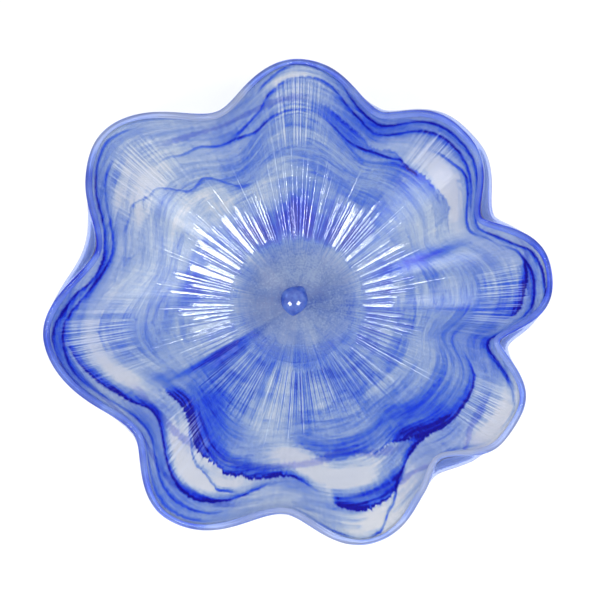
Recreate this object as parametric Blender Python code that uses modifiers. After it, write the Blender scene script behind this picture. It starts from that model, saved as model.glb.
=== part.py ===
"""A hand-blown art glass bowl with a ruffled rim.

The bowl stands on the centre of its foot at the origin, +Z up, in metres. Its wall is two layers of
glass, a blue gather inside and a clear casing outside, with five trails of cobalt glass between them.
A wrap of cobalt closes the lip, a drop sits in the well, and a flat foot pad carries the whole.

Angles run counter-clockwise from +X, seen from above. A level says how far up the wall a point is:
-1 at the centre of the well, 0 at the edge of the well and 1 at the rim.
"""

import math

import bmesh
import bpy
from mathutils import Vector

# Lobes of the rim, where it flares outwards: angle in degrees, reach from the axis, and fullness,
# which is 1 for a plain wave and more for a broad lobe between tight folds.
LOBES = (
    (5, 0.202, 1.6),
    (45, 0.194, 1.4),
    (90, 0.1915, 1.0),
    (140.5, 0.205, 0.95),
    (189.5, 0.2055, 0.95),
    (240, 0.200, 1.1),
    (288, 0.200, 1.1),
    (330.5, 0.199, 1.45),
)
# Folds of the rim, where it stands up: angle in degrees and reach. Each follows the lobe above.
FOLDS = (
    (23, 0.168),
    (66, 0.164),
    (113, 0.160),
    (166, 0.173),
    (220, 0.168),
    (266.5, 0.169),
    (308, 0.177),
    (347, 0.170),
)
# Where the rim leans inwards: angle in degrees, and how far the wall swells out beyond it.
SWELLS = (
    (5, 0.001), (25, 0.013), (45, 0.009), (66, 0.007), (84, 0.001), (100, 0.001), (114, 0.004),
    (130, 0.001), (150, 0.004), (168, 0.013), (189, 0.005), (205, 0.003), (218, 0.005), (240, 0.0),
    (265, 0.003), (288, 0.0), (302, 0.003), (313, 0.013), (325, 0.003), (335, 0.002), (349, 0.011),
)
COLUMNS_PER_HALF_WAVE = 5
COLUMN_CROWDING = 0.6

LOBE_HEIGHT = 0.080
FOLD_HEIGHT = 0.100

# The meridian: a shallow well, then a cubic curve whose last two control points follow the rim.
WELL_RADIUS = 0.052
WELL_RISE = 0.003
SPRING_RADIUS = 0.105
SPRING_RISE = 0.012
LOBE_FLARE = 0.035
FLARE_END_SWELL = 0.010
SHOULDER_PER_SWELL = 3.6
RISE_PER_SWELL = 0.9
LOBE_SHOULDER = 0.050
FOLD_SHOULDER = 0.058

FOOT_RADIUS = 0.050
FOOT_THICKNESS = 0.004
FOOT_BEVEL = 0.001
FOOT_BEVEL_SEGMENTS = 2
FOOT_SEGMENTS = 64

GAP = 0.0003
GATHER_THICKNESS = 0.0021
CASING_THICKNESS = 0.0023
FLOOR_THICKNESS = 0.0085
HEEL_END_LEVEL = 0.55

LIP_HEIGHT = 0.0026
LIP_OVERLAP = 0.0004
LIP_SIDES = 6

DROP_PLACE = (-0.003, 0.003)
DROP_RADIUS = 0.0105
DROP_HEIGHT = 0.0065
DROP_STEPS = 6
DROP_SEGMENTS = 32

# Levels of the rings of the wall that no trail lies on, from the well outwards.
LOWER_LEVELS = (-0.5, 0.0, 0.13, 0.26, 0.39)
UPPER_LEVELS = (0.94, 1.0)
ROWS_FROM_INNER_TO_OUTER_BELT = 3

# Two belts run round the wall at the levels of the trails: angle in degrees and level.
INNER_BELT = ((0, 0.52), (205, 0.60), (245, 0.56), (285, 0.47), (310, 0.56))
OUTER_BELT = (
    (0, 0.86), (70, 0.82), (85, 0.77), (135, 0.74), (195, 0.84),
    (258, 0.80), (285, 0.72), (337, 0.74),
)
INNER_BELT_HALF_WIDTH = 0.038
OUTER_BELT_HALF_WIDTH = 0.030
TRAIL_THICKNESS = 0.0009

# Trails of cobalt glass: node name, belt, and the angles in degrees between which it lies.
TRAILS = (
    ("cobalt_trail_inner", "inner", 205, 308),
    ("cobalt_trail_back", "outer", 84, 134),
    ("cobalt_trail_front_left", "outer", 194, 257),
    ("cobalt_trail_front_right", "outer", 281, 336),
    ("cobalt_trail_right", "outer", 345, 72),
)

CLEAR_BLUE = (0.30, 0.40, 0.85, 1.0)
CLEAR = (0.80, 0.82, 0.92, 1.0)
COBALT = (0.02, 0.06, 0.60, 1.0)
DROP_BLUE = (0.08, 0.18, 0.70, 1.0)
FOOT_BLUE = (0.25, 0.38, 0.75, 1.0)
GLASS_ROUGHNESS = 0.06
GLASS_IOR = 1.5
GLASS_TRANSMISSION = 0.8

SHARP_ANGLE = 35
SMALL_STEP = 1e-4
WELD_DISTANCE = 1e-6


def clear_scene():
    for thing in list(bpy.data.objects):
        bpy.data.objects.remove(thing, do_unlink=True)


def mix(low, high, share):
    return low + (high - low) * share


def ease(share):
    """0 to 1 with level ends."""
    share = min(max(share, 0.0), 1.0)
    return share * share * (3 - 2 * share)


def turn(start, end):
    """Degrees from one angle to another, the short way, signed."""
    return (end - start + 180) % 360 - 180


def rim_at(angle):
    """Reach of the wall, and share of lobe (1) or fold (0), at an angle in degrees."""
    for index, (fold_angle, fold_reach) in enumerate(FOLDS):
        for lobe_angle, lobe_reach, fullness in (LOBES[index], LOBES[(index + 1) % len(LOBES)]):
            way = turn(lobe_angle, angle) / turn(lobe_angle, fold_angle)
            if 0 <= way <= 1:
                lobe = 0.5 + 0.5 * math.cos(math.pi * way**fullness)
                return mix(fold_reach, lobe_reach, lobe), lobe
    raise ValueError(f"no lobe or fold at {angle} degrees")


def eased_between(stations, angle):
    """Value at an angle in degrees, eased between stations that go once round the bowl."""
    for index, (start, value) in enumerate(stations):
        end, next_value = stations[(index + 1) % len(stations)]
        share = ((angle - start) % 360) / ((end - start) % 360)
        if share <= 1:
            return mix(value, next_value, ease(share))
    raise ValueError(f"no station at {angle} degrees")


def well_height(level):
    """Height of the well's surface, whose level runs from -1 at its centre to 0 at its edge."""
    floor = FOOT_THICKNESS + GAP + FLOOR_THICKNESS
    return floor + WELL_RISE * (1 + level) ** 2


def meridian(angle, level):
    """Radius and height of the inner surface at an angle in degrees and a level."""
    if level <= 0:
        return WELL_RADIUS * (1 + level), well_height(level)
    reach, lobe = rim_at(angle)
    swell = eased_between(SWELLS, angle)
    rim_radius = reach - swell
    rim_height = mix(FOLD_HEIGHT, LOBE_HEIGHT, lobe) + RISE_PER_SWELL * swell * lobe
    flare = LOBE_FLARE * lobe * max(1 - swell / FLARE_END_SWELL, 0)
    shoulder_radius = rim_radius + SHOULDER_PER_SWELL * swell - flare
    shoulder_height = mix(FOLD_SHOULDER, LOBE_SHOULDER, lobe)
    edge = well_height(0)
    radii = (WELL_RADIUS, SPRING_RADIUS, shoulder_radius, rim_radius)
    heights = (edge, edge + SPRING_RISE, shoulder_height, rim_height)
    rest = 1 - level
    weights = (rest**3, 3 * rest**2 * level, 3 * rest * level**2, level**3)
    radius = sum(weight * value for weight, value in zip(weights, radii))
    height = sum(weight * value for weight, value in zip(weights, heights))
    return radius, height


def inner_point(angle, level):
    radius, height = meridian(angle, level)
    bearing = math.radians(angle)
    return Vector((radius * math.cos(bearing), radius * math.sin(bearing), height))


def outward(angle, level):
    """Unit normal of the wall, pointing out of the bowl; straight down under the well."""
    if level <= 0:
        return Vector((0, 0, -1))
    step = SMALL_STEP
    along = inner_point(angle, level) - inner_point(angle, level - step)
    around = inner_point(angle + math.degrees(step), level) - inner_point(angle - math.degrees(step), level)
    return around.cross(along).normalized()


def wall_thickness(level):
    """Full thickness of the wall, with a heavy heel round the foot."""
    wall = GATHER_THICKNESS + GAP + CASING_THICKNESS
    heel = well_height(min(level, 0)) - FOOT_THICKNESS - GAP
    return mix(heel, wall, ease(level / HEEL_END_LEVEL))


def wall_point(angle, level, depth):
    """A point of the wall, at a depth behind its inner surface."""
    return inner_point(angle, level) + depth * outward(angle, level)


def column_angles():
    """Angles of the wall's columns, crowded together towards each fold, where the wall turns most."""
    steps = [step / COLUMNS_PER_HALF_WAVE for step in range(COLUMNS_PER_HALF_WAVE)]
    ways = [mix(step, math.sin(math.pi / 2 * step), COLUMN_CROWDING) for step in steps]
    angles = []
    for index, (fold_angle, _) in enumerate(FOLDS):
        lobe_angle = LOBES[index][0]
        next_angle = LOBES[(index + 1) % len(LOBES)][0]
        angles += [lobe_angle + turn(lobe_angle, fold_angle) * way for way in ways]
        back = [next_angle + turn(next_angle, fold_angle) * way for way in ways[1:]]
        angles += [fold_angle, *reversed(back)]
    return [angle % 360 for angle in angles]


BELTS = {
    "inner": (INNER_BELT, INNER_BELT_HALF_WIDTH),
    "outer": (OUTER_BELT, OUTER_BELT_HALF_WIDTH),
}
ANGLES = column_angles()


def belt_edges(belt_name, angle):
    belt, half_width = BELTS[belt_name]
    centre = eased_between(belt, angle)
    return centre - half_width, centre + half_width


def trail_columns(start, end):
    """Indices of the columns between two angles, in order."""
    span = (end - start) % 360
    found = [index for index, angle in enumerate(ANGLES) if (angle - start) % 360 <= span]
    return sorted(found, key=lambda index: (ANGLES[index] - start) % 360)


def channel_columns(belt_name):
    """Columns where the casing is hollowed for the trails of one belt."""
    columns = set()
    for _, trail_belt, start, end in TRAILS:
        if trail_belt == belt_name:
            columns.update(trail_columns(start, end))
    return columns


def wall_levels(angle):
    """Levels of the wall's rings at one column, with the edges of both belts among them."""
    inner_low, inner_high = belt_edges("inner", angle)
    outer_low, outer_high = belt_edges("outer", angle)
    middle = (inner_high + outer_low) / 2
    return (*LOWER_LEVELS, inner_low, inner_high, middle, outer_low, outer_high, *UPPER_LEVELS)


def ring(row, depth_at):
    """One ring of points round the wall, with its depth worked out from the level."""
    levels = [wall_levels(angle)[row] for angle in ANGLES]
    return [wall_point(angle, level, depth_at(level)) for angle, level in zip(ANGLES, levels)]


def gather_depth(level):
    """Depth of the face where the gather meets the casing, deeper under the well."""
    return GATHER_THICKNESS * wall_thickness(level) / wall_thickness(1)


def casing_depth(level):
    return gather_depth(level) + GAP


def strip(mesh, low, high, closed=True):
    """Triangles between two rows of vertices, always cut along the diagonal that rises with the angle.

    The faces on both sides of every gap are cut alike, so the gap keeps its width where they twist.
    """
    count = len(low)
    for index in range(count if closed else count - 1):
        after = (index + 1) % count
        mesh.faces.new((low[index], low[after], high[after]))
        mesh.faces.new((low[index], high[after], high[index]))


def fan(mesh, row, point):
    pole = mesh.verts.new(point)
    for index, vertex in enumerate(row):
        mesh.faces.new((vertex, row[(index + 1) % len(row)], pole))


def add_object(name, mesh, collection, material):
    """A closed mesh as a smooth-shaded object, its faces turned outwards."""
    bmesh.ops.remove_doubles(mesh, verts=mesh.verts, dist=WELD_DISTANCE)
    bmesh.ops.recalc_face_normals(mesh, faces=mesh.faces)
    data = bpy.data.meshes.new(name)
    mesh.to_mesh(data)
    mesh.free()
    data.shade_smooth()
    data.set_sharp_from_angle(angle=math.radians(SHARP_ANGLE))
    data.materials.append(material)
    thing = bpy.data.objects.new(name, data)
    collection.objects.link(thing)
    return thing


def layer(inside_pole, inside, outside_pole, outside):
    """A closed layer of the wall, from its inner and outer rings, both counted from the well up."""
    mesh = bmesh.new()
    rims = []
    for pole_point, rings in ((inside_pole, inside), (outside_pole, outside)):
        rows = [[mesh.verts.new(point) for point in points] for points in rings]
        fan(mesh, rows[0], pole_point)
        for row, after in zip(rows, rows[1:]):
            strip(mesh, row, after)
        rims.append(rows[-1])
    strip(mesh, *rims)
    return mesh


def glass(name, colour):
    material = bpy.data.materials.new(name)
    material.use_nodes = True
    material.diffuse_color = colour
    shader = material.node_tree.nodes["Principled BSDF"]
    shader.inputs["Base Color"].default_value = colour
    shader.inputs["Roughness"].default_value = GLASS_ROUGHNESS
    shader.inputs["Metallic"].default_value = 0.0
    shader.inputs["IOR"].default_value = GLASS_IOR
    shader.inputs["Transmission Weight"].default_value = GLASS_TRANSMISSION
    return material


def pole(depth):
    return Vector((0, 0, well_height(-1) - depth))


def add_colour_gather(collection):
    """The inner layer, from the well to just under the lip."""
    rows = range(len(wall_levels(0)))
    inside = [ring(row, lambda level: 0.0) for row in rows]
    outside = [ring(row, gather_depth) for row in rows]
    mesh = layer(pole(0), inside, pole(gather_depth(-1)), outside)
    add_object("colour_gather", mesh, collection, glass("blue_gather", CLEAR_BLUE))


def channel_floor(row, columns):
    """A ring of the casing's inner face, let down into the channel where a trail lies."""
    points = []
    for index, angle in enumerate(ANGLES):
        level = wall_levels(angle)[row]
        depth = casing_depth(level)
        if index in columns:
            depth += TRAIL_THICKNESS + GAP
        points.append(wall_point(angle, level, depth))
    return points


def casing_inner_rings():
    """Rings of the casing's inner face from the well up, with a channel along each belt."""
    inner_row = len(LOWER_LEVELS)
    low_rows = {inner_row: "inner", inner_row + ROWS_FROM_INNER_TO_OUTER_BELT: "outer"}
    rings = []
    for row in range(len(wall_levels(0))):
        if row - 1 in low_rows:
            rings.append(channel_floor(row, channel_columns(low_rows[row - 1])))
        rings.append(ring(row, casing_depth))
        if row in low_rows:
            rings.append(channel_floor(row, channel_columns(low_rows[row])))
    return rings


def add_clear_casing(collection):
    """The outer layer, with the trails' channels in its inner face."""
    outside = [ring(row, wall_thickness) for row in range(len(wall_levels(0)))]
    inside_pole = pole(casing_depth(-1))
    mesh = layer(inside_pole, casing_inner_rings(), pole(wall_thickness(-1)), outside)
    add_object("clear_casing", mesh, collection, glass("clear_casing", CLEAR))


def trail_row(columns, belt_name, upper, extra_depth):
    """One edge of a trail, drawn in from its channel's side by the gap."""
    points = []
    for column in columns:
        angle = ANGLES[column]
        low, high = belt_edges(belt_name, angle)
        slope = (inner_point(angle, high) - inner_point(angle, low)).length / (high - low)
        level = high - GAP / slope if upper else low + GAP / slope
        points.append(wall_point(angle, level, casing_depth(level) + extra_depth))
    return points


def add_trail(name, belt_name, start, end, collection, material):
    """A flat ribbon of cobalt glass lying in its channel between the two layers."""
    columns = trail_columns(start, end)
    mesh = bmesh.new()
    front_low, front_high, back_low, back_high = (
        [mesh.verts.new(point) for point in trail_row(columns, belt_name, upper, extra)]
        for extra in (0.0, TRAIL_THICKNESS)
        for upper in (False, True)
    )
    strip(mesh, front_low, front_high, closed=False)
    strip(mesh, back_low, back_high, closed=False)
    strip(mesh, front_low, back_low, closed=False)
    strip(mesh, front_high, back_high, closed=False)
    for index in (0, -1):
        mesh.faces.new((front_low[index], front_high[index], back_high[index], back_low[index]))
    add_object(name, mesh, collection, material)


def lip_section(angle):
    """Points of the lip's section at one angle: a dome, then the middle of its flat underside."""
    top = inner_point(angle, 1.0)
    rise = (top - inner_point(angle, 1.0 - SMALL_STEP)).normalized()
    side = outward(angle, 1.0)
    width = wall_thickness(1.0) / 2 + LIP_OVERLAP
    centre = top + side * wall_thickness(1.0) / 2 + rise * GAP
    points = []
    for step in range(LIP_SIDES + 1):
        turned = math.pi * step / LIP_SIDES
        points.append(
            centre + side * width * math.cos(turned) + rise * LIP_HEIGHT * math.sin(turned)
        )
    points.append(top + side * casing_depth(1.0) + rise * GAP)
    return points


def add_lip_wrap(collection, material):
    """A thread of cobalt glass that closes both layers along the rim."""
    mesh = bmesh.new()
    sections = [[mesh.verts.new(point) for point in lip_section(angle)] for angle in ANGLES]
    *dome, under = zip(*sections)
    for row, after in zip(dome, dome[1:]):
        strip(mesh, row, after)
    strip(mesh, dome[-1], under)
    strip(mesh, under, dome[0])
    add_object("lip_wrap", mesh, collection, material)


def add_centre_drop(collection):
    """A dome of blue glass on the floor of the well, turned from half an ellipse."""
    reach = DROP_RADIUS + math.hypot(*DROP_PLACE)
    low_side = well_height(-1 + reach / WELL_RADIUS) + GAP
    mesh = bmesh.new()
    quarter = [math.pi / 2 * step / DROP_STEPS for step in range(DROP_STEPS + 1)]
    profile = [
        mesh.verts.new((DROP_RADIUS * math.sin(turned), 0, DROP_HEIGHT * math.cos(turned)))
        for turned in quarter
    ]
    profile.append(mesh.verts.new((0, 0, 0)))
    for start, end in zip(profile, profile[1:]):
        mesh.edges.new((start, end))
    data = bpy.data.meshes.new("centre_drop")
    mesh.to_mesh(data)
    mesh.free()
    data.materials.append(glass("blue_drop", DROP_BLUE))
    drop = bpy.data.objects.new("centre_drop", data)
    drop.location = (*DROP_PLACE, low_side)
    collection.objects.link(drop)
    screw = drop.modifiers.new("turn", "SCREW")
    screw.steps = DROP_SEGMENTS
    screw.render_steps = DROP_SEGMENTS
    screw.use_merge_vertices = True
    screw.merge_threshold = WELD_DISTANCE
    screw.use_smooth_shade = True


def add_foot_pad(collection):
    """The flat disc of glass that the bowl stands on."""
    bpy.ops.mesh.primitive_cylinder_add(
        vertices=FOOT_SEGMENTS,
        radius=FOOT_RADIUS,
        depth=FOOT_THICKNESS,
        location=(0, 0, FOOT_THICKNESS / 2),
    )
    foot = bpy.context.object
    foot.name = "foot_pad"
    foot.data.materials.append(glass("blue_foot", FOOT_BLUE))
    foot.data.shade_smooth()
    foot.data.set_sharp_from_angle(angle=math.radians(SHARP_ANGLE))
    bevel = foot.modifiers.new("ground edge", "BEVEL")
    bevel.width = FOOT_BEVEL
    bevel.segments = FOOT_BEVEL_SEGMENTS
    for owner in foot.users_collection:
        owner.objects.unlink(foot)
    collection.objects.link(foot)


def main():
    clear_scene()
    collection = bpy.data.collections.new("art_glass_bowl")
    bpy.context.scene.collection.children.link(collection)
    cobalt = glass("cobalt", COBALT)
    add_colour_gather(collection)
    add_clear_casing(collection)
    for name, belt_name, start, end in TRAILS:
        add_trail(name, belt_name, start, end, collection, cobalt)
    add_lip_wrap(collection, cobalt)
    add_centre_drop(collection)
    add_foot_pad(collection)


main()
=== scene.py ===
"""Looks of the art glass bowl: its glass layers, colour, ribbed centre, lip, drop and foot.

Angles are degrees counter-clockwise from +X, seen from above. A level says how far up the wall a
point is: -1 at the centre of the well, 0 at the edge of the well and 1 at the rim. A share says how
far out a point is seen from above: 0 at the axis and 1 at the bowl's outline in that direction.
"""
import math

import bpy
import numpy as np
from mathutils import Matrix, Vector


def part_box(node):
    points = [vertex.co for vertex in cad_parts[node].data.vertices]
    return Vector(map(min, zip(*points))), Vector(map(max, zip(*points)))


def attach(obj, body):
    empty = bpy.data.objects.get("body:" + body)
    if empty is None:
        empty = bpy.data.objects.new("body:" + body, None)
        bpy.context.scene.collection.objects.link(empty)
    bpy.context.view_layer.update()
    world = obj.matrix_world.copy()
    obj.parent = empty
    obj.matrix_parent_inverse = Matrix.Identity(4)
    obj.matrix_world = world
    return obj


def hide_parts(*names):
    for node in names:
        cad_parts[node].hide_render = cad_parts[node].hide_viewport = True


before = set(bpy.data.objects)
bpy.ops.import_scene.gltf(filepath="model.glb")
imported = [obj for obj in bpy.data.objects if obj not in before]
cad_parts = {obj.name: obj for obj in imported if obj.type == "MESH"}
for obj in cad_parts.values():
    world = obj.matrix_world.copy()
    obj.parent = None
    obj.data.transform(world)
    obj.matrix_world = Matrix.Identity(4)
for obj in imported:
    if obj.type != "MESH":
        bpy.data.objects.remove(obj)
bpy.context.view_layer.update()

# The shape of the wall, as in the frame's solids, in metres.
LOBES = (
    (5, 0.202, 1.6), (45, 0.194, 1.4), (90, 0.1915, 1.0), (140.5, 0.205, 0.95),
    (189.5, 0.2055, 0.95), (240, 0.200, 1.1), (288, 0.200, 1.1), (330.5, 0.199, 1.45),
)
FOLDS = (
    (23, 0.168), (66, 0.164), (113, 0.160), (166, 0.173),
    (220, 0.168), (266.5, 0.169), (308, 0.177), (347, 0.170),
)
SWELLS = (
    (5, 0.001), (25, 0.013), (45, 0.009), (66, 0.007), (84, 0.001), (100, 0.001), (114, 0.004),
    (130, 0.001), (150, 0.004), (168, 0.013), (189, 0.005), (205, 0.003), (218, 0.005), (240, 0.0),
    (265, 0.003), (288, 0.0), (302, 0.003), (313, 0.013), (325, 0.003), (335, 0.002), (349, 0.011),
)
LOBE_HEIGHT = 0.080
FOLD_HEIGHT = 0.100
WELL_RADIUS = 0.052
WELL_RISE = 0.003
SPRING_RADIUS = 0.105
SPRING_RISE = 0.012
LOBE_FLARE = 0.035
FLARE_END_SWELL = 0.010
SHOULDER_PER_SWELL = 3.6
RISE_PER_SWELL = 0.9
LOBE_SHOULDER = 0.050
FOLD_SHOULDER = 0.058
FOOT_THICKNESS = 0.004
GAP = 0.0003
GATHER_THICKNESS = 0.0021
CASING_THICKNESS = 0.0023
FLOOR_THICKNESS = 0.0085
HEEL_END_LEVEL = 0.55
LIP_HEIGHT = 0.0026
LIP_OVERLAP = 0.0004
WALL_THICKNESS = GATHER_THICKNESS + GAP + CASING_THICKNESS
FLOOR_HEIGHT = FOOT_THICKNESS + GAP + FLOOR_THICKNESS

GATHER_COLUMNS = 1200
CASING_COLUMNS = 480
# Below this level the outward direction of the wall turns over to the straight down of the well.
STEEP_LEVEL = 0.05
SHARP_ANGLE = 50


def ease(share):
    """0 to 1 with level ends."""
    share = np.clip(share, 0.0, 1.0)
    return share * share * (3 - 2 * share)


def band(value, start, full, full_end, end):
    """0 outside start and end, 1 between full and full_end, eased between."""
    return ease((value - start) / (full - start)) * ease((end - value) / (end - full_end))


def around(stations, angles, column=1):
    """Values at angles, eased between stations whose first entry is their angle."""
    at = np.array([station[0] for station in stations], float)
    values = np.array([station[column] for station in stations], float)
    order = np.argsort(at % 360)
    at, values = at[order] % 360, values[order]
    at = np.append(at, at[0] + 360)
    values = np.append(values, values[0])
    turned = (angles - at[0]) % 360 + at[0]
    index = np.clip(np.searchsorted(at, turned, side="right") - 1, 0, len(at) - 2)
    way = (turned - at[index]) / (at[index + 1] - at[index])
    return values[index] + (values[index + 1] - values[index]) * ease(way)


def turn(start, end):
    """Degrees from one angle to another, the short way, signed."""
    return (end - start + 180) % 360 - 180


def rim_at(angles):
    """Reach of the wall and share of lobe at each angle."""
    reach = np.zeros_like(angles)
    lobe = np.zeros_like(angles)
    for index, (fold_angle, fold_reach) in enumerate(FOLDS):
        for lobe_angle, lobe_reach, fullness in (LOBES[index], LOBES[(index + 1) % len(LOBES)]):
            way = turn(lobe_angle, angles) / turn(lobe_angle, fold_angle)
            here = (way >= 0) & (way <= 1)
            wave = 0.5 + 0.5 * np.cos(np.pi * np.clip(way, 0, 1) ** fullness)
            reach = np.where(here, fold_reach + (lobe_reach - fold_reach) * wave, reach)
            lobe = np.where(here, wave, lobe)
    return reach, lobe


def well_height(levels):
    return FLOOR_HEIGHT + WELL_RISE * (1 + levels) ** 2


def meridians(angles, levels):
    """Radii and heights of the inner surface, one row for each angle and one column for each level."""
    reach, lobe = rim_at(angles)
    swell = around(SWELLS, angles)
    rim_radius = reach - swell
    rim_height = FOLD_HEIGHT + (LOBE_HEIGHT - FOLD_HEIGHT) * lobe + RISE_PER_SWELL * swell * lobe
    flare = LOBE_FLARE * lobe * np.maximum(1 - swell / FLARE_END_SWELL, 0)
    shoulder_radius = rim_radius + SHOULDER_PER_SWELL * swell - flare
    shoulder_height = FOLD_SHOULDER + (LOBE_SHOULDER - FOLD_SHOULDER) * lobe
    edge = well_height(0.0)
    up = np.maximum(levels, 0.0)
    rest = 1 - up
    weights = (rest**3, 3 * rest**2 * up, 3 * rest * up**2, up**3)

    def on_curve(controls):
        columns = (np.broadcast_to(control, angles.shape) for control in controls)
        return sum(np.outer(column, weight) for column, weight in zip(columns, weights))

    radius = on_curve((WELL_RADIUS, SPRING_RADIUS, shoulder_radius, rim_radius))
    height = on_curve((edge, edge + SPRING_RISE, shoulder_height, rim_height))
    in_well = levels <= 0
    radius[:, in_well] = WELL_RADIUS * (1 + levels[in_well])
    height[:, in_well] = well_height(levels[in_well])
    return radius, height


def unit(vectors):
    return vectors / np.linalg.norm(vectors, axis=-1, keepdims=True)


class Wall:
    """The inner surface on a grid of angles and levels, with its outward normals."""

    def __init__(self, columns, levels):
        self.angles = np.arange(columns) * 360.0 / columns
        self.levels = np.array(levels, float)
        bearing = np.radians(self.angles)[:, None]
        self.radius, self.height = meridians(self.angles, self.levels)
        self.points = np.stack(
            (self.radius * np.cos(bearing), self.radius * np.sin(bearing), self.height), axis=-1
        )
        across = np.roll(self.points, -1, axis=0) - np.roll(self.points, 1, axis=0)
        along = np.gradient(self.points, self.levels, axis=1)
        self.normals = unit(np.cross(across, along))
        steep = ease(self.levels / STEEP_LEVEL)[None, :, None]
        self.normals = unit(self.normals * steep + np.array((0.0, 0.0, -1.0)) * (1 - steep))
        steps = np.linalg.norm(np.diff(self.points, axis=1), axis=-1)
        self.length = np.concatenate((np.zeros((columns, 1)), np.cumsum(steps, axis=1)), axis=1)

    def face(self, depth):
        """Points at a depth behind the inner surface; depth is a number, a row or a whole grid."""
        return self.points + self.normals * np.broadcast_to(depth, self.radius.shape)[..., None]


def wall_thickness(levels):
    """Full thickness of the wall, with a heavy heel round the foot."""
    heel = well_height(np.minimum(levels, 0)) - FOOT_THICKNESS - GAP
    return heel + (WALL_THICKNESS - heel) * ease(levels / HEEL_END_LEVEL)


def gather_depth(levels):
    return GATHER_THICKNESS * wall_thickness(levels) / WALL_THICKNESS


def grid_faces(columns, rows, first, flip):
    """Quads of a grid that closes on itself, vertex index = first + column * rows + row."""
    column, row = np.meshgrid(np.arange(columns), np.arange(rows - 1), indexing="ij")
    here = first + column * rows + row
    there = first + (column + 1) % columns * rows + row
    quads = np.stack((here, there, there + 1, here + 1), axis=-1).reshape(-1, 4)
    return quads[:, ::-1] if flip else quads


def layer_mesh(name, faces_of_points, poles):
    """A closed layer: an inner grid, an outer grid, a fan at each pole and a band along the rim."""
    inner, outer = faces_of_points
    columns = inner.shape[0]
    inner_rows, outer_rows = inner.shape[1], outer.shape[1]
    offset = columns * inner_rows
    verts = np.concatenate((inner.reshape(-1, 3), outer.reshape(-1, 3), poles))
    inner_pole, outer_pole = len(verts) - 2, len(verts) - 1
    quads = [grid_faces(columns, inner_rows, 0, True), grid_faces(columns, outer_rows, offset, False)]
    column = np.arange(columns)
    after = (column + 1) % columns
    inner_rim = column * inner_rows + inner_rows - 1
    outer_rim = offset + column * outer_rows + outer_rows - 1
    quads.append(np.stack((outer_rim, outer_rim[after], inner_rim[after], inner_rim), axis=-1))
    fans = [
        np.stack((np.full(columns, inner_pole), column * inner_rows, after * inner_rows), axis=-1),
        np.stack(
            (np.full(columns, outer_pole), offset + after * outer_rows, offset + column * outer_rows),
            axis=-1,
        ),
    ]
    return new_object(name, verts, [*np.concatenate(quads).tolist(), *np.concatenate(fans).tolist()])


def capped_rings(name, rings, first, last):
    """A closed mesh through rings of points, with a point that closes each end."""
    count, sides = rings.shape[:2]
    first_index, last_index = count * sides, count * sides + 1
    bottom = (count - 1) * sides
    faces = []
    for side in range(sides):
        after = (side + 1) % sides
        faces.append((first_index, side, after))
        for start in range(0, bottom, sides):
            below = start + sides
            faces.append((start + side, below + side, below + after, start + after))
        faces.append((last_index, bottom + after, bottom + side))
    thing = new_object(name, np.concatenate((rings.reshape(-1, 3), (first, last))), faces)
    thing.data.set_sharp_from_angle(angle=math.radians(SHARP_ANGLE))
    return thing


def new_object(name, verts, faces):
    data = bpy.data.meshes.new(name)
    data.from_pydata(np.asarray(verts).tolist(), [], faces)
    data.update()
    data.shade_smooth()
    thing = bpy.data.objects.new(name, data)
    bpy.context.scene.collection.objects.link(thing)
    return thing


def add_attribute(thing, name, values):
    """A number, or a vector, for every vertex."""
    values = np.asarray(values, np.float32)
    kind = "FLOAT" if values.ndim == 1 else "FLOAT_VECTOR"
    attribute = thing.data.attributes.new(name, kind, "POINT")
    attribute.data.foreach_set("value" if values.ndim == 1 else "vector", values.ravel())


# --------------------------------------------------------------------------- nodes


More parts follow.
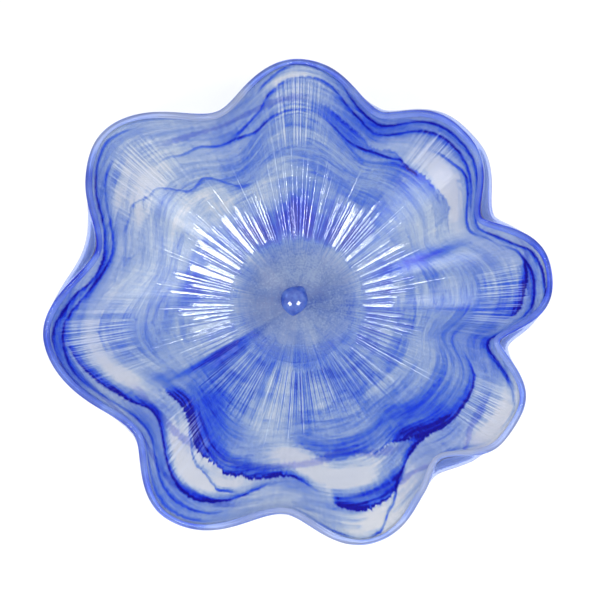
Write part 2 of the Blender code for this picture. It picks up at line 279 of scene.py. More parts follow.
class Graph:
    """Short words for building one material's nodes."""

    def __init__(self, name):
        self.material = bpy.data.materials.new(name)
        self.material.use_nodes = True
        self.tree = self.material.node_tree
        self.tree.nodes.clear()

    def add(self, kind, inputs=None, **settings):
        node = self.tree.nodes.new(kind)
        for key, value in settings.items():
            setattr(node, key, value)
        for key, value in (inputs or {}).items():
            if isinstance(value, bpy.types.NodeSocket):
                self.tree.links.new(value, node.inputs[key])
            else:
                node.inputs[key].default_value = value
        return node

    def attribute(self, name, vector=False):
        node = self.add("ShaderNodeAttribute", attribute_name=name)
        return node.outputs["Vector" if vector else "Fac"]

    def math(self, operation, *values):
        return self.add("ShaderNodeMath", dict(enumerate(values)), operation=operation).outputs[0]

    def total(self, *values):
        found = values[0]
        for value in values[1:]:
            found = self.math("ADD", found, value)
        return found

    def product(self, *values):
        found = values[0]
        for value in values[1:]:
            found = self.math("MULTIPLY", found, value)
        return found

    def scaled(self, vector, scale):
        """A vector with each part multiplied."""
        node = self.add("ShaderNodeVectorMath", {0: vector, 1: scale}, operation="MULTIPLY")
        return node.outputs[0]

    def parts(self, vector):
        return tuple(self.add("ShaderNodeSeparateXYZ", {0: vector}).outputs)

    def noise(self, vector, detail=2.0, roughness=0.5, distortion=0.0, scale=1.0):
        inputs = {
            "Vector": vector, "Scale": scale, "Detail": detail,
            "Roughness": roughness, "Distortion": distortion,
        }
        return self.add("ShaderNodeTexNoise", inputs).outputs["Fac"]

    def map(self, value, low, high, to_low=0.0, to_high=1.0, smooth=True):
        inputs = {
            "Value": value, "From Min": low, "From Max": high, "To Min": to_low, "To Max": to_high,
        }
        kind = "SMOOTHSTEP" if smooth else "LINEAR"
        return self.add("ShaderNodeMapRange", inputs, interpolation_type=kind).outputs["Result"]

    def ramp(self, value, stops):
        node = self.add("ShaderNodeValToRGB", {"Fac": value})
        elements = node.color_ramp.elements
        while len(elements) < len(stops):
            elements.new(0.5)
        for element, (position, colour) in zip(elements, stops):
            element.position = position
            element.color = (*colour, 1.0)
        return node.outputs["Color"]

    def blend(self, factor, first, second):
        """From the first colour to the second."""
        node = self.add("ShaderNodeMix", {"Factor": factor}, data_type="RGBA")
        for socket, value in ((node.inputs[6], first), (node.inputs[7], second)):
            if isinstance(value, bpy.types.NodeSocket):
                self.tree.links.new(value, socket)
            else:
                socket.default_value = (*value, 1.0)
        return node.outputs[2]

    def bump(self, height, strength, distance, normal=None):
        inputs = {"Height": height, "Strength": strength, "Distance": distance}
        if normal is not None:
            inputs["Normal"] = normal
        return self.add("ShaderNodeBump", inputs).outputs["Normal"]

    def glass(self, colour, lamp_colour, inputs):
        """Clear glass that lamps and the light off other surfaces shine straight through."""
        shader = self.add("ShaderNodeBsdfPrincipled", {"Base Color": colour, **inputs})
        straight = self.add("ShaderNodeBsdfTransparent", {"Color": lamp_colour})
        path = self.add("ShaderNodeLightPath")
        through = self.math(
            "MAXIMUM", path.outputs["Is Shadow Ray"], path.outputs["Is Diffuse Ray"]
        )
        mixed = self.add(
            "ShaderNodeMixShader",
            {0: through, 1: shader.outputs[0], 2: straight.outputs[0]},
        )
        self.add("ShaderNodeOutputMaterial", {"Surface": mixed.outputs[0]})
        return self.material


# --------------------------------------------------------------------------- colour

# Sweeps of cobalt in the wall, in belts that go once round. Each station is its angle, the share
# at which its middle lies, its half width in millimetres, and its strength, 0 where there is none.
BELTS = {
    "belt_upper": (
        (44, 0.745, 1.0, 0.0), (50, 0.75, 1.2, 0.7), (55, 0.775, 1.3, 0.75), (65, 0.835, 1.4, 0.8),
        (74, 0.82, 1.3, 0.7), (84, 0.83, 1.2, 0.6), (92, 0.825, 1.2, 0.6), (102, 0.835, 1.4, 0.9),
        (112, 0.885, 1.6, 0.95), (121, 0.875, 1.4, 0.8), (130, 0.82, 1.2, 0.6), (138, 0.80, 1.2, 0.0),
        (188, 0.915, 2.0, 0.0), (194, 0.91, 2.8, 1.0), (202, 0.90, 4.5, 1.1), (210, 0.89, 5.0, 1.2),
        (217, 0.87, 3.2, 1.1), (225, 0.885, 3.0, 1.1), (232, 0.88, 3.2, 1.1), (244, 0.895, 3.4, 1.1),
        (251, 0.89, 3.0, 1.0), (258, 0.875, 2.6, 0.9), (263, 0.86, 2.0, 0.0),
        (286, 0.995, 1.5, 0.0), (289, 0.985, 1.8, 1.1), (294, 0.93, 2.0, 1.2), (300, 0.88, 2.4, 1.2),
        (306, 0.86, 3.4, 1.2), (317, 0.80, 5.5, 1.15), (327, 0.79, 4.5, 0.9), (337, 0.795, 3.4, 0.7),
        (345, 0.80, 2.0, 0.0),
    ),
    "belt_middle": (
        (24, 0.80, 4.0, 0.0), (32, 0.78, 6.0, 0.5), (41, 0.735, 7.0, 0.5), (51, 0.72, 8.0, 0.40),
        (60, 0.79, 9.0, 0.30), (70, 0.84, 9.0, 0.35), (80, 0.85, 7.0, 0.25), (90, 0.85, 4.0, 0.0),
        (211, 0.74, 3.5, 0.0), (217, 0.74, 5.5, 1.1), (231, 0.70, 8.0, 1.15), (241, 0.705, 9.0, 1.1),
        (251, 0.755, 9.0, 1.2), (258, 0.80, 7.5, 1.2), (263, 0.825, 5.5, 0.7), (267, 0.83, 4.0, 0.0),
        (279.5, 0.835, 8.0, 0.0), (281.5, 0.84, 8.5, 1.15), (290, 0.855, 9.0, 1.15),
        (298, 0.875, 7.0, 1.0), (304, 0.88, 4.0, 0.0),
        (354, 0.88, 3.0, 0.0), (357, 0.895, 5.0, 1.1), (1, 0.895, 5.0, 1.1), (8, 0.92, 3.0, 1.2),
        (11, 0.93, 1.5, 0.0),
    ),
    "belt_lower": (
        (14, 0.905, 1.0, 0.0), (24, 0.905, 1.5, 1.0), (36, 0.905, 1.4, 1.0), (44, 0.875, 1.4, 0.8),
        (50, 0.86, 1.0, 0.0),
        (108, 0.66, 1.2, 0.0), (115, 0.665, 1.8, 0.45), (126, 0.705, 1.8, 0.5), (134, 0.645, 1.8, 0.5),
        (143, 0.735, 1.8, 0.6), (152, 0.815, 1.8, 0.6), (160, 0.86, 1.2, 0.0),
        (226, 0.725, 1.2, 0.0), (231, 0.74, 2.2, 1.0), (240, 0.785, 2.4, 1.0), (249, 0.85, 2.4, 1.0),
        (254, 0.875, 1.6, 0.0),
        (258, 0.60, 10.0, 0.0), (276, 0.63, 11.0, 0.22), (291, 0.625, 11.0, 0.27), (300, 0.70, 10.0, 0.42),
        (309, 0.775, 9.0, 0.8), (318, 0.79, 5.0, 0.0),
        (336, 0.97, 2.0, 0.0), (340, 0.95, 3.0, 0.9), (348, 0.92, 4.0, 1.1), (354, 0.95, 2.0, 0.0),
    ),
    "belt_rim": (
        (102, 0.955, 1.5, 0.0), (99, 0.965, 2.4, 0.8), (90, 0.992, 1.5, 0.7), (80, 0.985, 1.8, 0.8),
        (72, 0.965, 2.6, 1.0), (62, 0.95, 2.4, 0.9), (45, 0.955, 2.2, 1.0), (30, 0.95, 2.2, 1.0),
        (19, 0.935, 2.4, 1.2), (15, 0.935, 2.6, 1.3), (11, 0.965, 2.4, 1.3), (5, 0.98, 2.2, 1.3),
        (358, 0.985, 2.2, 1.1), (352, 0.97, 2.2, 0.8), (346, 0.95, 2.0, 0.0),
        (130, 0.96, 1.5, 0.0), (141, 0.97, 2.0, 0.8), (151, 0.965, 2.4, 1.0), (161, 0.94, 2.6, 0.95),
        (174, 0.915, 3.4, 0.9), (180, 0.94, 3.6, 0.9), (189, 0.965, 3.0, 0.9), (205, 0.98, 2.2, 0.9),
        (217, 0.98, 2.0, 0.8), (228, 0.975, 2.0, 0.8), (244, 0.98, 2.0, 0.8), (252, 0.98, 2.0, 0.0),
        (262, 0.975, 1.5, 0.0), (270, 0.98, 1.6, 0.5), (280, 0.985, 1.6, 0.8), (284, 0.985, 1.6, 0.0),
    ),
    "belt_second": (
        (113, 0.90, 1.5, 0.0), (108, 0.895, 2.2, 0.6), (102, 0.89, 2.8, 0.7), (97, 0.918, 3.2, 0.7),
        (92, 0.935, 3.2, 0.7), (82, 0.95, 3.0, 0.7), (74, 0.935, 2.4, 0.8), (60, 0.905, 2.0, 0.8),
        (45, 0.925, 2.0, 0.9), (32, 0.92, 1.8, 0.8), (24, 0.925, 1.6, 0.0),
        (16, 0.90, 1.6, 0.0), (12, 0.925, 1.8, 1.1), (5, 0.945, 1.8, 1.1), (358, 0.95, 1.8, 0.9),
        (350, 0.93, 1.6, 0.0),
        (138, 0.93, 1.5, 0.0), (150, 0.925, 2.0, 0.6), (165, 0.90, 2.4, 0.7), (178, 0.90, 3.0, 0.8),
        (188, 0.93, 2.6, 0.7), (200, 0.955, 2.0, 0.7), (217, 0.95, 1.8, 0.7), (232, 0.94, 1.8, 0.7),
        (248, 0.945, 1.8, 0.6), (254, 0.94, 1.5, 0.0),
        (258, 0.84, 1.8, 0.0), (262, 0.835, 3.0, 0.7), (268, 0.83, 3.6, 0.8), (273, 0.84, 2.4, 0.6),
        (277, 0.85, 1.5, 0.0),
        (311, 0.93, 2.0, 0.0), (316, 0.93, 2.6, 0.5), (324, 0.965, 2.0, 0.4), (332, 0.975, 2.0, 0.5),
        (341, 0.94, 2.6, 0.6), (346, 0.90, 2.0, 0.0),
    ),
}

# What the poles hold for a belt: far from its middle, of some width, and no strength.
FAR_FROM_BELT = (-100.0, 1.0, 0.0)

# The line that the thin streaks of colour follow half way up the wall: angle and share.
STREAM = (
    (0, 0.80), (25, 0.76), (50, 0.75), (75, 0.82), (100, 0.83), (115, 0.80), (140, 0.74), (165, 0.74),
    (190, 0.78), (215, 0.74), (232, 0.72), (250, 0.79), (265, 0.80), (285, 0.74), (305, 0.80),
    (325, 0.78),
)
STREAM_START_RADIUS = 0.095
STREAM_COURSES = (0.0, 9.0, 16.0, 21.0)
SHARE_STEP = 1e-6

# Broad clouds of colour: angle, share, reach in degrees and in share, and strength. A negative
# strength is a clear window.
CLOUDS = (
    (90, 0.385, 13, 0.085, 0.85),
    (118, 0.40, 12, 0.08, 0.45),
    (58, 0.39, 14, 0.08, 0.50),
    (172, 0.50, 12, 0.08, 0.35),
    (20, 0.60, 3.5, 0.17, 0.50),
    (357.5, 0.66, 1.1, 0.13, 0.22),
    (19.5, 0.74, 1.2, 0.12, 0.30),
    (12, 0.57, 2.0, 0.12, 0.18),
    (216, 0.42, 5, 0.22, 0.60),
    (212, 0.52, 1.5, 0.22, 0.50),
    (209, 0.72, 2.5, 0.07, 0.35),
    (232, 0.58, 12, 0.10, 0.40),
    (240, 0.93, 14, 0.05, 0.26),
    (185, 0.93, 26, 0.05, 0.14),
    (60, 0.94, 26, 0.05, 0.10),
    (272, 0.25, 62, 0.06, 0.45),
    (150, 0.12, 50, 0.08, -0.30),
    (62, 0.58, 24, 0.09, 0.22),
    (75, 0.86, 10, 0.10, 0.25),
    (112, 0.74, 18, 0.10, 0.12),
    (196, 0.62, 14, 0.10, 0.20),
    (285, 0.67, 26, 0.08, 0.15),
    (318, 0.70, 14, 0.09, 0.40),
    (352, 0.80, 12, 0.14, 0.35),
    (268, 0.86, 6, 0.05, 0.30),
    (88, 0.955, 10, 0.028, -0.45),
    (38, 0.82, 10, 0.05, -0.45),
    (146, 0.81, 12, 0.08, -0.40),
    (130, 0.60, 30, 0.07, -0.20),
    (282, 0.76, 18, 0.055, -0.90),
    (292, 0.935, 11, 0.05, -0.50),
    (326, 0.945, 8, 0.04, -0.60),
    (333, 0.85, 12, 0.06, 0.14),
    (238, 0.83, 12, 0.04, -0.80),
    (240, 0.745, 10, 0.03, -0.50),
    (200, 0.83, 12, 0.04, -0.38),
)

# Groups of fine stretch lines with painted highlight along them, where the lamps reflect in the wall:
# angle, reach in degrees, and the shares where they start and end.
STRETCH_AND_HIGHLIGHT_GROUPS = (
    (142, 9, 0.70, 0.94),
    (91, 7, 0.66, 0.97),
    (48, 5, 0.74, 0.95),
    (330, 6, 0.78, 0.97),
    (192, 10, 0.66, 0.95),
    (0, 9, 0.72, 0.93),
    (232, 8, 0.66, 0.90),
)


def share_at(wall):
    """How far out each point is seen from above."""
    reach, _ = rim_at(wall.angles)
    return wall.radius / reach[:, None]


def rising_shares(wall):
    """Shares that rise all the way up each column, so that a length can be read from a share."""
    return np.maximum.accumulate(share_at(wall) + np.arange(len(wall.levels)) * SHARE_STEP, axis=1)


def belt_values(wall, stations):
    """Distance from the middle of a belt and its half width, in millimetres, and its strength."""
    middle = around(stations, wall.angles, 1)
    half_width = around(stations, wall.angles, 2)[:, None]
    strength = around(stations, wall.angles, 3)[:, None]
    columns = zip(middle, rising_shares(wall), wall.length)
    at = np.array([np.interp(share, row, run) for share, row, run in columns])
    offset = (wall.length - at[:, None]) * 1000
    return np.stack(np.broadcast_arrays(offset, half_width, strength), axis=-1)


def stream_values(wall):
    """Course of the thin streaks: round circles near the well, along the rim at the rim."""
    rising = rising_shares(wall)
    middle = around(STREAM, wall.angles)
    values = np.zeros_like(rising)
    for column, run in enumerate(wall.length):
        start = np.interp(STREAM_START_RADIUS, wall.radius[column], run)
        half_way = np.interp(middle[column], rising[column], run)
        values[column] = np.interp(run, (0.0, start, half_way, run[-1]), STREAM_COURSES)
    return values


def cloud_values(wall):
    shares = share_at(wall)
    total = np.zeros_like(shares)
    for angle, share, wide, deep, strength in CLOUDS:
        across = turn(angle, wall.angles)[:, None] / wide
        total += strength * np.exp(-(across**2) - ((shares - share) / deep) ** 2)
    return total


def stretch_and_highlight_values(wall):
    shares = share_at(wall)
    total = np.zeros_like(shares)
    for angle, wide, start, end in STRETCH_AND_HIGHLIGHT_GROUPS:
        across = np.exp(-((turn(angle, wall.angles)[:, None] / wide) ** 2))
        total = np.maximum(total, across * band(shares, start, start + 0.06, end - 0.05, end))
    return total


def bearing_vectors(wall, third):
    """The bearing as a unit circle, and a third number."""
    bearing = np.radians(wall.angles)[:, None]
    flat = np.ones_like(third)
    return np.stack((np.cos(bearing) * flat, np.sin(bearing) * flat, third), axis=-1)


def comb_vectors(wall):
    """Bearing and radius, for grain that is combed outwards from the well."""
    return bearing_vectors(wall, wall.radius * 10)


def joined(grids, pole_value=0.0):
    """Values for a run of grids and then for the two poles."""
    flat = [np.asarray(grid).reshape(-1, *np.shape(grid)[2:]) for grid in grids]
    pole = np.broadcast_to(np.asarray(pole_value, float), (2, *flat[0].shape[1:]))
    return np.concatenate((*flat, pole))


def colour_attributes(thing, walls):
    """Everything that the colour nodes read from both faces of the gather."""
    streams = [bearing_vectors(wall, stream_values(wall)) for wall in walls]
    add_attribute(thing, "comb", joined([comb_vectors(wall) for wall in walls]))
    add_attribute(thing, "stream", joined(streams))
    add_attribute(thing, "cloud", joined([cloud_values(wall) for wall in walls]))
    add_attribute(thing, "stretch_and_highlight", joined([stretch_and_highlight_values(wall) for wall in walls]))
    for name, stations in BELTS.items():
        add_attribute(thing, name, joined([belt_values(wall, stations) for wall in walls], FAR_FROM_BELT))


# Colour of the gather, from no cobalt to the most.
COLOURS = (
    (0.00, (0.61, 0.62, 0.64)),
    (0.14, (0.44, 0.51, 0.62)),
    (0.32, (0.26, 0.35, 0.58)),
    (0.56, (0.088, 0.18, 0.57)),
    (0.80, (0.013, 0.056, 0.62)),
    (1.00, (0.008, 0.005, 0.30)),
)

# The frosted glass of the well.
DUST = ((0.38, (0.030, 0.058, 0.26)), (0.48, (0.095, 0.150, 0.35)), (0.61, (0.28, 0.35, 0.48)))


# Colour of the painted highlight on the lit facets and the raised threads.
FACET_HIGHLIGHT_COLOUR = (0.84, 0.94, 1.0)
# Colour of the painted highlight along the fine stretch lines.
HAIRLINE_HIGHLIGHT_COLOUR = (0.60, 0.66, 0.80)
LAMP_COLOUR = (0.995, 0.995, 1.0)
VEIL_LIMIT = 0.80
# The widest ragged edge of a belt, in millimetres.
RAGGED_LIMIT = 7.0


def veil_density(graph, comb, stream, threads):
    """The faint blue that lies over the whole gather in swirls, wisps and clouds."""
    swirl = graph.noise(graph.scaled(comb, (1.6, 1.6, 0.55)), detail=3.0, distortion=0.6)
    wisps = graph.noise(
        graph.scaled(stream, (2.0, 2.0, 0.75)), detail=4.0, roughness=0.6, distortion=0.5
    )
    fibres = graph.noise(graph.scaled(comb, (55.0, 55.0, 7.0)), detail=5.0, roughness=0.75)
    veil = graph.product(
        graph.map(swirl, 0.35, 0.65, 0.15, 0.32),
        graph.map(wisps, 0.38, 0.62, 0.70, 1.30),
        graph.map(threads, 0.42, 0.58, 0.82, 1.20),
    )
    density = graph.total(
        veil,
        graph.product(graph.attribute("cloud"), 0.85),
        graph.map(fibres, 0.3, 0.7, -0.075, 0.075, smooth=False),
    )
    return graph.math("MINIMUM", density, VEIL_LIMIT)


def belt_density(graph, name, jitter, wash):
    """Cobalt of one belt: a crisp, ragged outer edge with a dark line, and a haze on its inner side."""
    offset, half_width, strength = graph.parts(graph.attribute(name, vector=True))
    ragged = graph.product(jitter, graph.math("MINIMUM", half_width, RAGGED_LIMIT))
    offset = graph.total(offset, ragged)
    past = graph.math("SUBTRACT", offset, half_width)
    inside = graph.math("DIVIDE", offset, half_width)
    edge = graph.map(past, 0.8, -0.6)
    line = graph.map(past, -3.2, -0.8, 0.0, 0.32)
    body = graph.product(graph.map(inside, -1.6, 0.5, 0.0, 0.50), wash)
    haze = graph.map(inside, -4.5, 0.0, 0.0, 0.14)
    strength = graph.product(strength, graph.map(half_width, 1.5, 5.0, 0.68, 1.0))
    return graph.product(graph.total(line, body, haze), strength, edge)


def colour_density(graph, comb, fine_rays):
    """How much cobalt there is at a point of the gather, from 0 up."""
    stream = graph.attribute("stream", vector=True)
    threads = graph.noise(graph.scaled(stream, (3.0, 3.0, 3.6)), detail=3.0, roughness=0.65)
    rays = graph.noise(graph.scaled(comb, (70.0, 70.0, 0.8)), detail=2.0)
    jitter = graph.total(
        graph.map(rays, 0.3, 0.7, -0.22, 0.22, smooth=False),
        graph.map(fine_rays, 0.3, 0.7, -0.16, 0.16, smooth=False),
    )
    wash = graph.map(threads, 0.36, 0.62, 0.55, 1.08)
    veins = graph.noise(graph.scaled(stream, (2.4, 2.4, 1.5)), detail=2.0, distortion=0.3)
    veins = graph.math("ABSOLUTE", graph.math("SUBTRACT", veins, 0.5))
    density = graph.total(
        veil_density(graph, comb, stream, threads),
        *(belt_density(graph, name, jitter, wash) for name in BELTS),
        graph.map(veins, 0.016, 0.0, 0.0, 0.16),
        # Painted shade: the grooves between the facets are made darker.
        graph.product(graph.attribute("groove_and_painted_shade"), 0.50),
        graph.product(graph.attribute("lines"), graph.map(fine_rays, 0.35, 0.65, -0.16, 0.20)),
    )
    # Painted highlight: the stretch groups are made paler along fine hairlines.
    painted_hairline_density = graph.product(
        graph.attribute("stretch_and_highlight"), graph.map(fine_rays, 0.40, 0.62, -0.10, 0.26)
    )
    return graph.math("MAXIMUM", graph.math("SUBTRACT", density, painted_hairline_density), 0.0)


def facet_shine(graph, chips):
    """How strongly the facets and threads shine, chipped away where they are weak: the weight of their
    gloss coat and of the painted highlight on them.
    """
    iris_and_painted_highlight = graph.math("MAXIMUM", graph.attribute("iris_and_painted_highlight"), graph.attribute("glint"))
    kept = graph.total(iris_and_painted_highlight, graph.map(chips, 0.3, 0.7, -0.30, 0.30, smooth=False))
    return graph.product(iris_and_painted_highlight, graph.map(kept, 0.30, 0.55))


def painted_facet_highlight(graph, comb, chips, iris_and_painted_highlight):
    """Share of painted highlight on the lit facets and the raised threads."""
    highlight_grain = graph.noise(graph.scaled(comb, (120.0, 120.0, 18.0)), detail=3.0, roughness=0.7)
    thread = graph.product(graph.attribute("glint"), graph.map(chips, 0.42, 0.58, 0.0, 0.75))
    facet = graph.product(graph.map(iris_and_painted_highlight, 0.45, 0.80), graph.map(highlight_grain, 0.40, 0.52, 0.25, 0.85))
    return graph.math("MAXIMUM", thread, facet)


def frosted(graph, colour, frost):
    """The colour under the speckled frost of the well."""
    where = graph.add("ShaderNodeTexCoord").outputs["Object"]
    speckle = graph.noise(where, detail=3.0, roughness=0.8, scale=560.0)
    drift = graph.noise(where, detail=2.0, scale=32.0)
    dusty = graph.product(frost, graph.map(speckle, 0.35, 0.65, 0.75, 1.0))
    rubbed = graph.total(
        graph.product(speckle, 0.65),
        graph.product(drift, 0.35),
        graph.product(graph.attribute("cloud"), -0.12),
    )
    return graph.blend(dusty, colour, graph.ramp(rubbed, DUST))


def combed_normal(graph, comb, fine_rays, iris_and_painted_highlight, stretch_and_highlight):
    """Grain on the lit facets and fine combed ridges on the rest."""
    grain = graph.noise(graph.scaled(comb, (60.0, 60.0, 9.0)), detail=3.0, roughness=0.7)
    normal = graph.bump(graph.product(grain, iris_and_painted_highlight), 1.0, 0.0003)
    combing = graph.total(graph.product(stretch_and_highlight, 0.8), graph.attribute("combing"))
    return graph.bump(graph.product(fine_rays, combing), 0.7, 0.0012, normal)


def gather_material():
    graph = Graph("swirled_blue_glass")
    comb = graph.attribute("comb", vector=True)
    frost = graph.attribute("frost")
    stretch_and_highlight = graph.attribute("stretch_and_highlight")
    fine_rays = graph.noise(graph.scaled(comb, (150.0, 150.0, 1.2)), detail=1.0)
    chips = graph.noise(graph.scaled(comb, (45.0, 45.0, 14.0)), detail=2.0)
    iris_and_painted_highlight = facet_shine(graph, chips)
    colour = graph.ramp(colour_density(graph, comb, fine_rays), COLOURS)
    # Painted highlight: pale hairlines in the stretch groups.
    painted_hairline_highlight = graph.product(stretch_and_highlight, graph.map(fine_rays, 0.5, 0.64, 0.0, 0.45))
    colour = graph.blend(painted_hairline_highlight, colour, HAIRLINE_HIGHLIGHT_COLOUR)
    # Painted highlight: pale colour laid on the lit facets and the raised threads.
    colour = graph.blend(painted_facet_highlight(graph, comb, chips, iris_and_painted_highlight), colour, FACET_HIGHLIGHT_COLOUR)
    colour = frosted(graph, colour, frost)
    normal = combed_normal(graph, comb, fine_rays, iris_and_painted_highlight, stretch_and_highlight)
    return graph.glass(
        colour,
        graph.blend(0.94, colour, LAMP_COLOUR),
        {
            "Roughness": 0.16,
            "IOR": 1.28,
            "Specular IOR Level": 0.15,
            "Transmission Weight": graph.map(frost, 0.0, 1.0, 0.72, 0.45, smooth=False),
            "Coat Weight": iris_and_painted_highlight,
            "Coat Roughness": 0.03,
            "Coat IOR": 2.3,
            "Normal": normal,
            "Coat Normal": normal,
        },
    )


def casing_material():
    graph = Graph("clear_casing_glass")
    comb = graph.attribute("comb", vector=True)
    tint = graph.noise(graph.scaled(comb, (3.0, 3.0, 1.2)), detail=2.0)
    colour = graph.ramp(tint, ((0.3, (0.83, 0.86, 0.94)), (0.7, (0.73, 0.80, 0.93))))
    colour = graph.blend(graph.attribute("near_rim"), colour, (0.94, 0.95, 1.0))
    colour = graph.blend(graph.attribute("leaning"), colour, (0.45, 0.55, 0.93))
    waves = graph.noise(graph.scaled(comb, (30.0, 30.0, 0.7)), detail=1.0)
    normal = graph.bump(waves, 0.25, 0.0008)
    return graph.glass(
        colour,
        (0.98, 0.985, 1.0, 1.0),
        {"Roughness": 0.02, "IOR": 1.1, "Transmission Weight": 0.95, "Normal": normal},
    )


TRAIL_COLOURS = ((0.0, (1.0, 1.0, 1.0)), (0.5, (0.25, 0.40, 0.93)), (1.0, (0.05, 0.1, 0.8)))


def trail_material():
    """Thin colour between the layers, feathered to nothing at its edges."""
    graph = Graph("cobalt_trail_glass")
    comb = graph.attribute("comb", vector=True)
    rays = graph.noise(graph.scaled(comb, (70.0, 70.0, 0.8)), detail=2.0)
    across = graph.math("ABSOLUTE", graph.attribute("across"))
    ragged = graph.total(across, graph.map(rays, 0.3, 0.7, -0.3, 0.3, smooth=False))
    ink = graph.product(graph.map(ragged, 0.3, 0.9, 0.5, 0.0), graph.attribute("ends"))
    colour = graph.ramp(ink, TRAIL_COLOURS)
    straight = graph.add("ShaderNodeBsdfTransparent", {"Color": colour})
    graph.add("ShaderNodeOutputMaterial", {"Surface": straight.outputs[0]})
    return graph.material


# --------------------------------------------------------------------------- pieces


# How strongly the facets round the well shine, by gloss coat and painted highlight, strongest where the
# lamps reflect: angle and share.
LIT_FACETS = (
    (0, 0.8), (14, 0.75), (22, 0.3), (30, 1.0), (61, 1.0), (68, 0.4), (75, 0.05), (105, 0.05),
    (112, 1.0), (165, 1.0), (182, 0.9), (197, 0.65), (215, 0.5), (228, 0.12), (296, 0.12), (312, 0.4),
    (342, 0.55),
)
# Widths of the facets in degrees, with their odds where the facets are bright and where they aren't.
WIDE_FACETS = (1.2, 1.8, 2.7, 4.2)
BRIGHT_ODDS = (0.30, 0.30, 0.25, 0.15)
DULL_ODDS = (0.40, 0.30, 0.20, 0.10)
LAST_FACET_ANGLE = 357.0
GROOVE_WIDTH = 0.0005
GROOVE_DEPTH = 0.0003
THREAD_HEIGHT = 0.00008
THREAD_SPREAD = 13.0
FACET_SEED = 11
# Thin raised threads of glass between and beyond the facets, each with painted highlight in the colour:
# their number round each bearing.
THREADS_OF_GLASS = ((90, 26), (138, 16), (46, 14), (192, 12), (320, 12), (5, 8), (262, 8))


class Facets:
    """Flat radial facets round the well, with narrow grooves between them."""

    def __init__(self, wall):
        rng = np.random.default_rng(FACET_SEED)
        edges = [0.0]
        while edges[-1] < LAST_FACET_ANGLE:
            bright = around(LIT_FACETS, np.array([edges[-1]]))[0] > 0.7
            edges.append(edges[-1] + rng.choice(WIDE_FACETS, p=BRIGHT_ODDS if bright else DULL_ODDS))
        edges = np.array([*edges, 360.0])
        count = len(edges) - 1
        tilt = rng.normal(0.0, 1.0, count) * rng.choice((0.012, 0.06), count, p=(0.8, 0.2))
        start = rng.uniform(0.0530, 0.0585, count)
        end = rng.uniform(0.088, 0.116, count)
        weight = rng.choice((1.0, 0.3), count, p=(0.86, 0.14))
        index = np.clip(np.searchsorted(edges, wall.angles, side="right") - 1, 0, count - 1)
        half = (edges[index + 1] - edges[index]) / 2
        across = (wall.angles - edges[index] - half) / half
        half_width = np.radians(half)[:, None] * wall.radius
        fade = band(
            wall.radius, start[index][:, None], start[index][:, None] + 0.003,
            end[index][:, None] - 0.018, end[index][:, None],
        )
        from_edge = (1 - np.abs(across))[:, None] * half_width
        # Grooves between the facets, cut into the glass and also darkened as painted shade in the colour.
        self.groove_and_painted_shade = fade * np.exp(-((from_edge / GROOVE_WIDTH) ** 2))
        leaning = tilt[index][:, None] * across[:, None] * half_width
        self.height = fade * leaning - GROOVE_DEPTH * self.groove_and_painted_shade
        lit = around(LIT_FACETS, wall.angles)[:, None]
        # Weight of the gloss coat and of the painted highlight, strongest on the bearings where the lamps
        # reflect.
        self.iris_and_painted_highlight = fade * weight[index][:, None] * lit * (1 - 0.8 * self.groove_and_painted_shade)
        self.glint = np.zeros_like(wall.radius)
        for bearing, number in THREADS_OF_GLASS:
            for angle in rng.normal(bearing, THREAD_SPREAD, number):
                column = int(round(angle / 360 * len(wall.angles))) % len(wall.angles)
                reach = rng.uniform(0.095, 0.140)
                self.glint[column] = band(wall.radius[column], 0.053, 0.060, reach - 0.03, reach)
        self.height -= THREAD_HEIGHT * self.glint
        self.lines = band(wall.radius, 0.020, 0.050, 0.085, 0.120) * (1 - 0.7 * self.iris_and_painted_highlight)
        self.combing = 0.4 * (1 - band(wall.radius, 0.040, 0.052, 0.100, 0.125))


def add_gather():
    """The blue inner layer, faceted round the well."""
    inner_levels = np.concatenate((
        np.linspace(-0.9, -0.2, 5), np.linspace(-0.06, 0.42, 24), np.linspace(0.45, 1.0, 25),
    ))
    outer_levels = np.concatenate((np.linspace(-0.8, 0.0, 3), np.linspace(0.10, 1.0, 20)))
    inside = Wall(GATHER_COLUMNS, inner_levels)
    outside = Wall(GATHER_COLUMNS, outer_levels)
    facets = Facets(inside)
    poles = np.array(((0, 0, well_height(-1.0)), (0, 0, well_height(-1.0) - gather_depth(-1.0))))
    outer_face = outside.face(gather_depth(outside.levels)[None, :])
    gather = layer_mesh("gather_glass", (inside.face(-facets.height), outer_face), poles)
    colour_attributes(gather, (inside, outside))
    lower = np.exp(-((turn(272, inside.angles) / 62) ** 2))[:, None]
    frost = (1 - ease((inside.radius - 0.036 + 0.018 * lower) / 0.030)) * (1 - 0.25 * lower)
    behind = np.zeros_like(outside.radius)
    for name in ("iris_and_painted_highlight", "groove_and_painted_shade", "glint", "combing", "lines"):
        add_attribute(gather, name, joined((getattr(facets, name), behind)))
    add_attribute(gather, "frost", joined((frost, behind), (1.0, 0.0)))
    gather.data.materials.append(gather_material())
    finish_piece(gather, "blue_gather", "colour_gather")


def leaning_values(wall):
    """1 on the upper wall where it leans in over the bowl, 0 elsewhere."""
    swell = around(SWELLS, wall.angles)[:, None]
    return ease((swell - 0.001) / 0.006) * ease((wall.levels[None, :] - 0.40) / 0.25)


